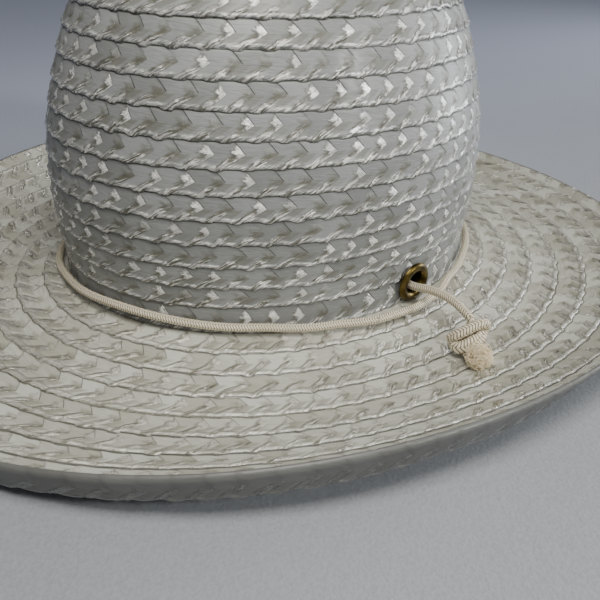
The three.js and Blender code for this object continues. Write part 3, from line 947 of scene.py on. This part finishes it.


def straw_look(name, tones, crinkle_start, glint_start):
    """Pearly plait in four tones: panels light and dark, the dark of the strips, which paints shade
    in their crinkles and a painted shadow beside the squares, and the near white of the painted
    highlights on the sparks of crinkles and selvedge and on the squares. crinkle_start is the v at
    which the crinkles begin, and glint_start says how rare the sparks are."""
    look = Look(name, tones["light"], 0.4, Specular_IOR_Level=0.6, Coat_Roughness=0.18)
    at = plait_places(look, crinkle_start)
    grain = straw_grain(look, at, glint_start)

    panel_tone = look.rise(grain.fibres * 0.7 + at.chance * 0.4, 0.35, 0.75)
    panel = look.mix(panel_tone, tones["dark"], tones["light"])
    # painted shadow of the wedge, in the strips' dark tone
    panel = look.mix(at.shadow_wedge * 0.45, panel, tones["strip"])
    # painted shade in the crinkled strips, deeper lower in the row and in the crinkles' creases
    shade = at.strip * (look.rise(at.v, 0.25, 0.55) * 0.6 + 0.4)
    shade = shade * look.rise(grain.creased, 0.70, 0.44)
    color = look.mix(shade * 0.85, panel, tones["strip"])
    # painted highlights: sparks on the crinkles and the selvedge, painted near white
    glint = grain.crinkled * grain.sparks * (at.chance * 0.3 + 0.7)
    color = look.mix(glint, color, tones["edge"])
    # painted highlight on the bright squares
    patch_glint = grain.patch * look.rise(grain.creased + grain.facet * 0.3, 0.36, 0.62)
    color = look.mix(patch_glint, color, tones["edge"])
    # painted shade under the row above, in the slits and where a slit ends
    dark = at.crease.above(at.slit * 0.5).above(at.seat * 0.3)
    color = look.mix(dark, color, PAINTED_SHADE_COLOR)
    # painted shade on the hem
    color = look.mix(at.hem * 0.9, color, HEM_SHADE_COLOR)
    look.feed(look.shader.inputs["Base Color"], color)

    shiny = grain.crinkled.above(grain.patch)
    metal = shiny * (grain.sparks * 0.35 + 0.25) * at.straw
    look.feed(look.shader.inputs["Metallic"], metal)
    rough = 0.44 - shiny * 0.28 + grain.fibres * 0.1 + at.crease * 0.3
    look.feed(look.shader.inputs["Roughness"], rough)
    look.feed(look.shader.inputs["Coat Weight"], 0.1 + shiny * 0.9)
    fine = look.noise(look.vector(at.u * 24.0, at.whole * 34.0), 1.0, 1.0)
    height = grain.fibres * 0.16 + fine * 0.05
    height = height + grain.crinkled * (grain.creased * 1.1 + grain.facet * 1.0)
    height = height - at.slit * 0.4 + at.chance * 0.1 + at.third * at.v * 0.15
    look.bump(height, 0.0009, 1.0)
    print(name, "has", len(look.tree.nodes), "nodes")
    return look


# The crown and brim are the same straw. The crown's tones are painted darker than the brim's, as
# painted shade on its upright walls. In each, light and dark are the panels' own tones, strip is
# the dark of the painted shade and shadow, and edge is the near white of the painted highlights.
CROWN_TONES = {
    "light": (0.275, 0.282, 0.280),
    "dark": (0.188, 0.193, 0.190),
    "strip": (0.10, 0.093, 0.06),
    "edge": (1.0, 0.99, 0.96),
}
# The brim's tones are painted lighter, as painted light on its open top.
BRIM_TONES = {
    "light": (0.61, 0.61, 0.54),
    "dark": (0.42, 0.41, 0.34),
    "strip": (0.15, 0.13, 0.08),
    "edge": (1.0, 0.97, 0.86),
}
crown_look = straw_look("straw_crown", CROWN_TONES, 0.58, 0.51)
brim_look = straw_look("straw_brim", BRIM_TONES, 0.40, 0.45)


# %% Dress the straw
def dress(piece, look, slot, *nodes):
    """Gives a piece its look and its body, and hides the solids that it stands for; the slot is not
    used.
    """
    piece.data.materials.append(look.material)
    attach(piece, "root")
    if nodes:
        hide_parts(*nodes)
    return piece


for part in crown_parts:
    dress(part, crown_look, "straw_crown", "crown")
for part in brim_parts:
    dress(part, brim_look, "straw_brim", "brim")
print("straw dressed")

# %% [markdown]
# ## Cords
#
# Both cords are one kind: a round braid of fine threads, 3.7 mm thick. A Bezier curve with a
# round bevel would give a smooth tube. Here a ring of points is carried along a smooth path
# instead, so that its radius can have the braid's relief, two sets of strands that wind against
# each other, and its UV map can guide the threads' colours.


# %% Smooth paths
CORD_RADIUS = 1.85  # mm
BRAID_TURN = 5.2  # mm along the cord for one turn of its waves
BRAID_RELIEF = 0.17  # share of the radius
BAND_TUBE = CORD_RADIUS - 0.2  # mm, drawn a little thinner where it presses into the crease
CHIN_TUBE = CORD_RADIUS - 0.1


def spline(points, steps):
    """Points evenly spaced on a centripetal Catmull-Rom curve through some points, by blending
    four neighbours at each place, then walking the arc length."""
    p = np.asarray(points, float)
    p = np.concatenate([[2 * p[0] - p[1]], p, [2 * p[-1] - p[-2]]])
    knots = np.concatenate([[0.0], np.cumsum(np.linalg.norm(np.diff(p, axis=0), axis=1) ** 0.5)])
    fine = np.linspace(knots[1], knots[-2], 40 * len(p))
    i = np.clip(np.searchsorted(knots, fine, "right") - 1, 1, len(p) - 3)

    def between(a, b, ka, kb):
        t = ((fine - ka) / (kb - ka))[:, None]
        return a * (1 - t) + b * t

    k = [knots[i + n] for n in (-1, 0, 1, 2)]
    q = [p[i + n] for n in (-1, 0, 1, 2)]
    first = [between(q[n], q[n + 1], k[n], k[n + 1]) for n in range(3)]
    second = [between(first[n], first[n + 1], k[n], k[n + 2]) for n in range(2)]
    curve = between(second[0], second[1], k[1], k[2])
    way = np.concatenate([[0.0], np.cumsum(np.linalg.norm(np.diff(curve, axis=0), axis=1))])
    even = np.linspace(0.0, way[-1], steps)
    return np.stack([np.interp(even, way, curve[:, n]) for n in range(3)], 1)


bend = spline([(0.0, 1.0, 0.0), (0.7, 0.7, 0.0), (1.0, 0.0, 0.0)], 9)
print("a spline through three points of a round bend passes", bend[2].round(2), bend[6].round(2))


# %% Frames along a path
def side_frames(path, closed):
    """Side and up across each path point. A closed path is nearly level, and so is its side. On
    an open one the side starts level and is carried along by projection."""
    if closed:
        ahead = np.roll(path, -1, 0) - np.roll(path, 1, 0)
    else:
        ahead = np.gradient(path, axis=0)
    ahead = ahead / np.linalg.norm(ahead, axis=1)[:, None]
    if closed:
        side = np.cross([0.0, 0.0, 1.0], ahead)
        side = side / np.linalg.norm(side, axis=1)[:, None]
        return side, np.cross(ahead, side)
    side = np.empty_like(path)
    guide = np.cross([0.0, 0.0, 1.0], ahead[0])
    for n in range(len(path)):
        guide = guide - ahead[n] * np.dot(guide, ahead[n])
        guide = guide / np.linalg.norm(guide)
        side[n] = guide
    return side, np.cross(ahead, side)


# %% Braided tube
def braid_tube(name, path, radius, around=20, closed=False, fullness=None):
    """A braided cord along a path in mm: the radius swells where a strand of either winding lies
    on top, as the larger of two slanting waves. Round ends close an open tube."""
    path = np.asarray(path)
    length = np.concatenate([[0.0], np.cumsum(np.linalg.norm(np.diff(path, axis=0), axis=1))])
    side, up = side_frames(path, closed)
    angle = np.arange(around + 1) / around * 2 * math.pi
    radii = np.full(len(path), radius) if fullness is None else radius * fullness
    if not closed:
        to_end = np.minimum(length, length[-1] - length)
        inside = (1.0 - to_end / radius).clip(0.0, 1.0)
        radii = radii * np.sqrt(np.clip(1.0 - inside ** 2, 0.0004, 1.0))
    turned = 2 * math.pi / BRAID_TURN * length[:, None]
    wave_a = np.abs(np.sin(2 * angle + turned))
    wave_b = np.abs(np.sin(2 * angle - turned))
    r = radii[:, None] * (1.0 + BRAID_RELIEF * (np.maximum(wave_a, wave_b) - 0.85))
    across = side[:, None, :] * (r * np.cos(angle))[..., None]
    across = across + up[:, None, :] * (r * np.sin(angle))[..., None]
    points = (path[:, None, :] + across)[:, :-1]
    coordinates = np.stack(np.broadcast_arrays(angle / (2 * math.pi), length[:, None]), -1)
    made = grid_object(name, points * MM, coordinates, closed_profile=closed)
    if not closed:
        close_ends(made, len(path), around)
    made.data.flip_normals()  # the grid's faces look into a tube, and have to look out of it
    return made


def close_ends(made, steps, columns):
    """Fills the small rings at both ends of a tube with one face each."""
    mesh = made.data
    vertices = np.empty(len(mesh.vertices) * 3, np.float32)
    mesh.vertices.foreach_get("co", vertices)
    faces = [list(face.vertices) for face in mesh.polygons]
    uv = np.empty(len(mesh.loops) * 2, np.float32)
    mesh.uv_layers["plait"].data.foreach_get("uv", uv)
    faces.append(list(range(columns)))
    faces.append(list(range((steps - 1) * columns, steps * columns))[::-1])
    closed = bpy.data.meshes.new(mesh.name + "_closed")
    closed.from_pydata(vertices.reshape(-1, 3).tolist(), [], faces)
    closed.uv_layers.new(name="plait")
    full = np.concatenate([uv, np.zeros(4 * columns, np.float32)])
    closed.uv_layers["plait"].data.foreach_set("uv", full)
    closed.polygons.foreach_set("use_smooth", np.full(len(closed.polygons), True))
    made.data = closed


# %% [markdown]
# ### The cord round the crown
#
# The thick cord hides the seam where the crown becomes the brim, and bows outward near each
# eyelet, where the chin cord comes out over it. A cloth or cord simulation could drop it into the
# crease. Its path is worked out instead: the crease's own oval, pushed out and up by tables of
# the azimuth that were read from the photograph.

# %% Band cord
BAND_OUT = {
    -180: 0.0, -130: 0.5, -112: 4.5, -102: 5.6, -92: 4.5, -74: 0.6, -40: 0.0, -12: 1.6, 6: 0.3,
    24: 0.2, 56: 0.2, 76: 2.6, 92: 5.8, 103: 6.6, 112: 5.6, 124: 2.2, 142: 0.4, 180: 0.0,
}  # azimuth: mm out from the crease
BAND_UP = {-180: 0.0, -12: 0.0, 6: 1.0, 24: 2.8, 56: 0.6, 76: 0.0, 180: 0.0}
GAP = 0.32  # mm between the cord and the straw
CLOSER = 0.25  # mm that the cord lies nearer the crown than that
HIGHER = 1.3  # and how much higher


def band_route(count=720):
    """Path of the cord round the crown: the foot's oval, moved out along its normal, with the
    brim's height there and the gap added to the cord's radius."""
    turns = np.arange(count) / count * 2 * math.pi
    nx, ny = oval_normal(turns)
    x = WIDTH_FACTOR * FOOT_RADIUS * np.cos(turns)
    y = LENGTH_FACTOR * FOOT_RADIUS * np.sin(turns)
    azimuth = np.degrees(np.arctan2(x, -y))
    out = SELVEDGE * 1.1 + GAP + CORD_RADIUS - CLOSER + from_table(BAND_OUT, azimuth)
    brim_out, brim_up, _ = brim_lines(turns, np.arange(0.0, 14.0, 0.25))
    drop = np.array([np.interp(out[n], brim_out[:, n], brim_up[:, n]) for n in range(count)])
    foot = BASE_HEIGHT + FOOT_HEIGHT - FOOT_SADDLE * np.cos(turns) ** 2
    z = foot + drop + SELVEDGE + GAP + CORD_RADIUS + HIGHER + from_table(BAND_UP, azimuth)
    return np.stack([x + nx * out, y + ny * out, z], 1)


band_path = band_route()
band_cord = braid_tube("band_braid", band_path, BAND_TUBE, closed=True)
print("band cord at", band_path[:, 2].min().round(1), "to", band_path[:, 2].max().round(1), "mm")

# %% [markdown]
# ### The chin cord
#
# Only its two ends show in the photograph, and the rest hangs inside the hat. A simulated rope
# would never lie twice in the same way, and the solid model has to hold the same route. So the
# cord follows listed points: out of the knot, through the eyelet, down to the table and round
# inside the crown. The list holds the left half, and the right half is its mirror image.

# %% Chin cord
CHIN_ROUTE = [
    (117.0, 24.0, 15.6), (115.0, 24.0, 16.4), (110.7, 24.0, 17.4), (106.0, 24.1, 17.9),
    (101.3, 24.0, 17.7), (95.7, 23.5, 17.0), (90.5, 22.8, 15.8), (85.6, 22.2, 14.3),
    (81.1, 22.4, 13.2), (77.2, 21.75, 13.35), (72.5, 20.0, 12.2), (68.5, 16.0, 8.6),
    (65.5, 9.0, 4.0), (63.0, 0.0, 2.3), (57.5, -44.0, 2.3), (50.5, -61.0, 2.3),
    (38.5, -68.5, 2.3), (26.5, -61.0, 2.3), (20.0, -44.0, 2.3), (19.0, 25.0, 2.3),
    (17.3, 48.0, 2.3), (10.8, 60.5, 2.3), (0.0, 65.0, 2.3),
]
chin_points = [*CHIN_ROUTE, *[(-x, y, z) for x, y, z in CHIN_ROUTE[-2::-1]]]
chin_path = spline(chin_points, 760)
chin_cord = braid_tube("chin_braid", chin_path, CHIN_TUBE)

# %% [markdown]
# ### The knots
#
# Each end is tied in an overhand knot. A lump with a knotted picture on it would do from far
# away, but the knot is near the camera. Its path was drawn in the photograph's own directions,
# right, up and towards the viewer, round the knot's middle, and the braid swells a little where
# it is bent so tightly.

# %% Knots
KNOT_MIDDLE = np.array([119.5, 21.0, 10.35])  # mm
KNOT_TURNS = [
    (0.7, 7.7, -1.3), (1.6, 6.0, -0.5), (1.2, 3.4, -1.8), (-1.8, -0.8, -2.6), (-5.0, -3.2, -0.6),
    (-3.6, -4.4, 1.8), (0.4, -2.9, 2.7), (4.0, -0.5, 1.2), (6.3, 2.2, -1.4), (6.7, 4.5, 0.6),
    (4.2, 4.7, 2.7), (0.0, 3.0, 3.3), (-4.2, 0.7, 2.2), (-6.1, -0.9, -0.7), (-2.6, -2.6, -3.6),
    (1.6, -4.6, -2.6), (3.4, -6.6, -0.4),
]
KNOT_FULLNESS = [  # share of KNOT_RADIUS at each of these points
    0.80, 0.84, 0.90, 1.0, 1.1, 1.25, 1.35, 1.2, 1.0, 0.95, 0.95, 0.97, 0.97, 0.95, 0.95, 0.95, 0.9,
]
KNOT_RADIUS = 2.1  # mm
VIEW_AXES = np.stack([RIGHT, UP, -FORWARD])


def knot_piece(name, side):
    """The knot's tube at the wearer's left, or mirrored in X at the right, and its path."""
    path = KNOT_MIDDLE + spline(KNOT_TURNS, 190) @ VIEW_AXES
    path[:, 0] *= side
    places = np.linspace(0, 1, len(KNOT_FULLNESS))
    fullness = np.interp(np.linspace(0, 1, len(path)), places, KNOT_FULLNESS)
    tube = braid_tube(f"knot_braid_{name}", path, KNOT_RADIUS, around=24, fullness=fullness)
    return tube, path


knots = {name: knot_piece(name, side) for name, side in SIDES.items()}
print("knots at", {name: np.round(path.mean(0), 1).tolist() for name, (_, path) in knots.items()})

# %% [markdown]
# ### The frayed ends
#
# Past the knot the braid is undone into hundreds of soft crimped fibres, which spread into a
# ball. A hair system could grow them, but it isn't mesh and would be lost in the exported model.
# All the fibres are worked out at once as thin four-sided tubes.


# %% Lines of the fibres
TUFT_FIBRES = 1300
TUFT_RINGS = 8
TUFT_SIDES = 4
TUFT_MIDDLE = (131.3, 16.3, 9.2)  # mm
TUFT_REACH = 5.2  # mm
TUFT_FLOOR = 5.0  # mm, where the fibres meet the straw
ROOT_SPREAD = 1.2  # mm round the knot's end, where the fibres start
FIBRE_RADIUS = 0.15  # mm
FIBRE_BEND = 1.6  # mm
FIBRE_CURL = 0.45  # mm


def tuft_lines(start, middle, chance):
    """Middle lines of the fibres, (fibres, rings, 3): each runs from near the knot's end to a
    place in a ball, bent by a half sine and waved by a sine that grows."""
    count = TUFT_FIBRES
    offset = chance.normal(size=(count, 3))
    offset = offset / np.linalg.norm(offset, axis=1)[:, None]
    ends = middle + offset * TUFT_REACH * chance.uniform(0.25, 1.0, (count, 1)) ** 0.5
    roots = start + offset * ROOT_SPREAD
    bend = np.cross(offset, chance.normal(size=(count, 3))) * FIBRE_BEND
    curl = chance.normal(size=(count, 3)) * FIBRE_CURL
    phase = chance.uniform(0, 2 * math.pi, (count, 1))
    t = np.linspace(0.0, 1.0, TUFT_RINGS)
    along = t[None, :, None]
    lines = roots[:, None, :] * (1.0 - along) + ends[:, None, :] * along
    lines = lines + bend[:, None, :] * np.sin(math.pi * along)
    return lines + curl[:, None, :] * (np.sin(phase + t * 10.0) * t)[..., None], t


# %% Faces of the fibres
def tuft_faces():
    """Quads along every fibre and one at each of its ends."""
    count, rings, sides = TUFT_FIBRES, TUFT_RINGS, TUFT_SIDES
    shape = (np.arange(count), np.arange(rings - 1), np.arange(sides))
    n, k, here = np.meshgrid(*shape, indexing="ij")
    low = n * rings * sides + k * sides
    high = low + sides
    then = (here + 1) % sides
    quads = np.stack([low + here, low + then, high + then, high + here], -1).reshape(-1, 4)
    starts = np.arange(count)[:, None] * rings * sides
    ends = starts + (rings - 1) * sides
    return np.concatenate([quads, starts + [3, 2, 1, 0], ends + [0, 1, 2, 3]]).tolist()


print("a tuft has", len(tuft_faces()), "faces")


# %% Tufts
def tuft_piece(name, side):
    """A ball of fibres beyond a knot: rings of four points round each middle line, thinner
    towards the fibre's end, and nothing below the straw that it lies on."""
    start = knots[name][1][-3]
    middle = np.array(TUFT_MIDDLE) * (side, 1, 1)
    lines, t = tuft_lines(start, middle, np.random.default_rng(8))
    ahead = np.gradient(lines, axis=1)
    ahead /= np.linalg.norm(ahead, axis=2)[..., None]
    first = np.cross(ahead, np.array([0.3, 0.5, 0.8]))
    first /= np.linalg.norm(first, axis=2)[..., None]
    second = np.cross(ahead, first)
    angle = (np.arange(TUFT_SIDES) / TUFT_SIDES * 2 * math.pi)[:, None]
    ring = first[:, :, None, :] * np.cos(angle) + second[:, :, None, :] * np.sin(angle)
    thick = FIBRE_RADIUS * np.interp(t, [0, 0.8, 1.0], [1.0, 0.8, 0.25])
    points = lines[:, :, None, :] + ring * thick[None, :, None, None]
    points[..., 2] = np.maximum(points[..., 2], TUFT_FLOOR)
    mesh = bpy.data.meshes.new("tuft")
    mesh.from_pydata((points.reshape(-1, 3) * MM).tolist(), [], tuft_faces())
    mesh.polygons.foreach_set("use_smooth", np.full(len(mesh.polygons), True))
    made = bpy.data.objects.new(f"tuft_fibres_{name}", mesh)
    bpy.context.scene.collection.objects.link(made)
    print(made.name, len(mesh.polygons) * 2, "triangles")
    return made


tufts = {name: tuft_piece(name, side) for name, side in SIDES.items()}

# %% [markdown]
# ### The look of the cords
#
# The braid's threads lie in a herringbone, cream, with painted shade in the valleys between them,
# a slight silky shine and here and there a greenish gold glint. An image of braid could be wrapped
# on, but the cords' UV map gives the place round the cord and the mm along it, and so a zigzag of
# one and a wave of the other draw the threads at their true size. The frayed fibres only need soft,
# uneven cream.

# %% Cord material
# painted shade in the valleys between the threads
CORD_VALLEY_SHADE = (0.17, 0.125, 0.065)
CORD_CREAM = (0.86, 0.77, 0.60)
CORD_GOLD = (0.48, 0.47, 0.30)
THREAD = 1.1  # mm along the cord for one thread

cord_look = Look("cord_braid", (0.66, 0.58, 0.45), 0.5, Specular_IOR_Level=0.5)
cord_uv = cord_look.node("ShaderNodeUVMap", {"uv_map": "plait"})
cord_round = cord_look.node("ShaderNodeSeparateXYZ", None, {0: cord_uv})
cord_along = cord_round.other_output(1)
zigzag = ((cord_round * 3.0).fraction() - 0.5).size() * 2.0
thread = ((cord_along / THREAD + zigzag * 0.9) * math.pi).sine().size()
# painted shade along the seams where the strands meet
seam = cord_look.rise((zigzag - 0.5).size(), 0.40, 0.48)
thread = cord_look.rise(thread, 0.15, 0.75) * (1.0 - seam * 0.5)
cord_spot = cord_look.node("ShaderNodeTexCoord", output=3)
cord_cloud = cord_look.noise(cord_spot, 140.0, 2.0)
cord_fine = cord_look.noise(cord_spot, 4500.0, 2.0)
cord_tone = thread * (0.75 + cord_fine * 0.5)
cord_color = cord_look.mix(cord_tone, CORD_VALLEY_SHADE, CORD_CREAM)
cord_gold = cord_look.rise(cord_cloud, 0.55, 0.7) * 0.35
cord_color = cord_look.mix(cord_gold, cord_color, CORD_GOLD)
cord_look.feed(cord_look.shader.inputs["Base Color"], cord_color)
cord_look.feed(cord_look.shader.inputs["Roughness"], 0.62 - cord_tone * 0.2)
cord_look.bump(thread + cord_fine * 0.3, 0.0003, 0.9)
print("cord look has", len(cord_look.tree.nodes), "nodes")

# %% Frayed fibres
tuft_look = Look("frayed_fibres", (0.72, 0.60, 0.42), 0.75)
tuft_spot = tuft_look.node("ShaderNodeTexCoord", output=3)
tuft_cloud = tuft_look.rise(tuft_look.noise(tuft_spot, 700.0, 2.0), 0.35, 0.65)
tuft_color = tuft_look.mix(tuft_cloud, (0.88, 0.75, 0.53), (0.97, 0.88, 0.70))
tuft_look.feed(tuft_look.shader.inputs["Base Color"], tuft_color)
print("fibre look has", len(tuft_look.tree.nodes), "nodes")

# %% Dress the cords
dress(band_cord, cord_look, "cord", "band_cord")
dress(chin_cord, cord_look, "cord", "chin_cord")
for name in SIDES:
    dress(knots[name][0], cord_look, "cord", f"knot_{name}")
    dress(tufts[name], tuft_look, "frayed_cord", f"tuft_{name}")
tuple(chin_path[0] * MM)
(chin_path[::4] * MM).tolist()
print("cords dressed")

# %% [markdown]
# ## The eyelets
#
# A brass eyelet is pressed from thin sheet: a rolled flange outside, a barrel through the straw
# and a flatter flange inside. Some tori and a tube could be joined, but the sheet is one smooth
# piece. So one closed profile is turned about the axis of the hole, which faces out of the wall.

# %% Eyelets
EYELET_PROFILE = np.array([  # mm from the axis, and out of the wall
    (4.7, -2.3), (4.7, 1.0), (4.8, 1.7), (5.1, 2.4), (5.6, 2.95), (6.3, 3.3), (7.1, 3.35),
    (7.8, 3.15), (8.4, 2.75), (8.8, 2.2), (8.95, 1.7), (8.85, 1.45), (8.3, 1.35), (5.6, 1.35),
    (5.6, -1.9), (8.1, -1.9), (8.1, -2.2), (7.8, -2.6), (5.6, -2.75), (4.9, -2.6),
])
EYELET_STEPS = 72


def eyelet_piece(name, side):
    """The profile (radius, distance out of the wall) turned in steps about the hole's axis."""
    middle, axis, first, second = eyelet_axes(side)
    angle = np.arange(EYELET_STEPS + 1) / EYELET_STEPS * 2 * math.pi
    r, h = EYELET_PROFILE[:, 0], EYELET_PROFILE[:, 1]
    across = first * (r[:, None] * np.cos(angle))[..., None]
    across = across + second * (r[:, None] * np.sin(angle))[..., None]
    points = (middle + axis * h[:, None, None] + across)[:, :-1]
    coordinates = np.stack(np.broadcast_arrays(angle[None, :], r[:, None]), -1)
    return grid_object(f"eyelet_brass_{name}", points * MM, coordinates)


# %% [markdown]
# The brass is old: dark brown in places, with a low shine and fine scratches. Paint on a texture
# could show that. Two noises do it here, a wide one for the brown and a fine one for the
# scratches, so it stays sharp close up.

# %% Brass
BRASS_DARK = (0.04, 0.03, 0.009)
BRASS_LIGHT = (0.16, 0.115, 0.035)
brass_look = Look("antique_brass", (0.35, 0.26, 0.11), 0.32, Metallic=1.0)
brass_spot = brass_look.node("ShaderNodeTexCoord", output=3)
brass_cloud = brass_look.noise(brass_spot, 260.0, 3.0)
brass_scratch = brass_look.noise(brass_spot, 2600.0, 2.0)
brass_tone = brass_look.rise(brass_cloud, 0.35, 0.65)
brass_color = brass_look.mix(brass_tone, BRASS_DARK, BRASS_LIGHT)
brass_look.feed(brass_look.shader.inputs["Base Color"], brass_color)
brass_look.feed(brass_look.shader.inputs["Roughness"], 0.24 + brass_scratch * 0.2)
brass_look.bump(brass_scratch, 0.00008, 0.5)
for name, side in SIDES.items():
    dress(eyelet_piece(name, side), brass_look, "brass", f"eyelet_{name}")
print("eyelets dressed")
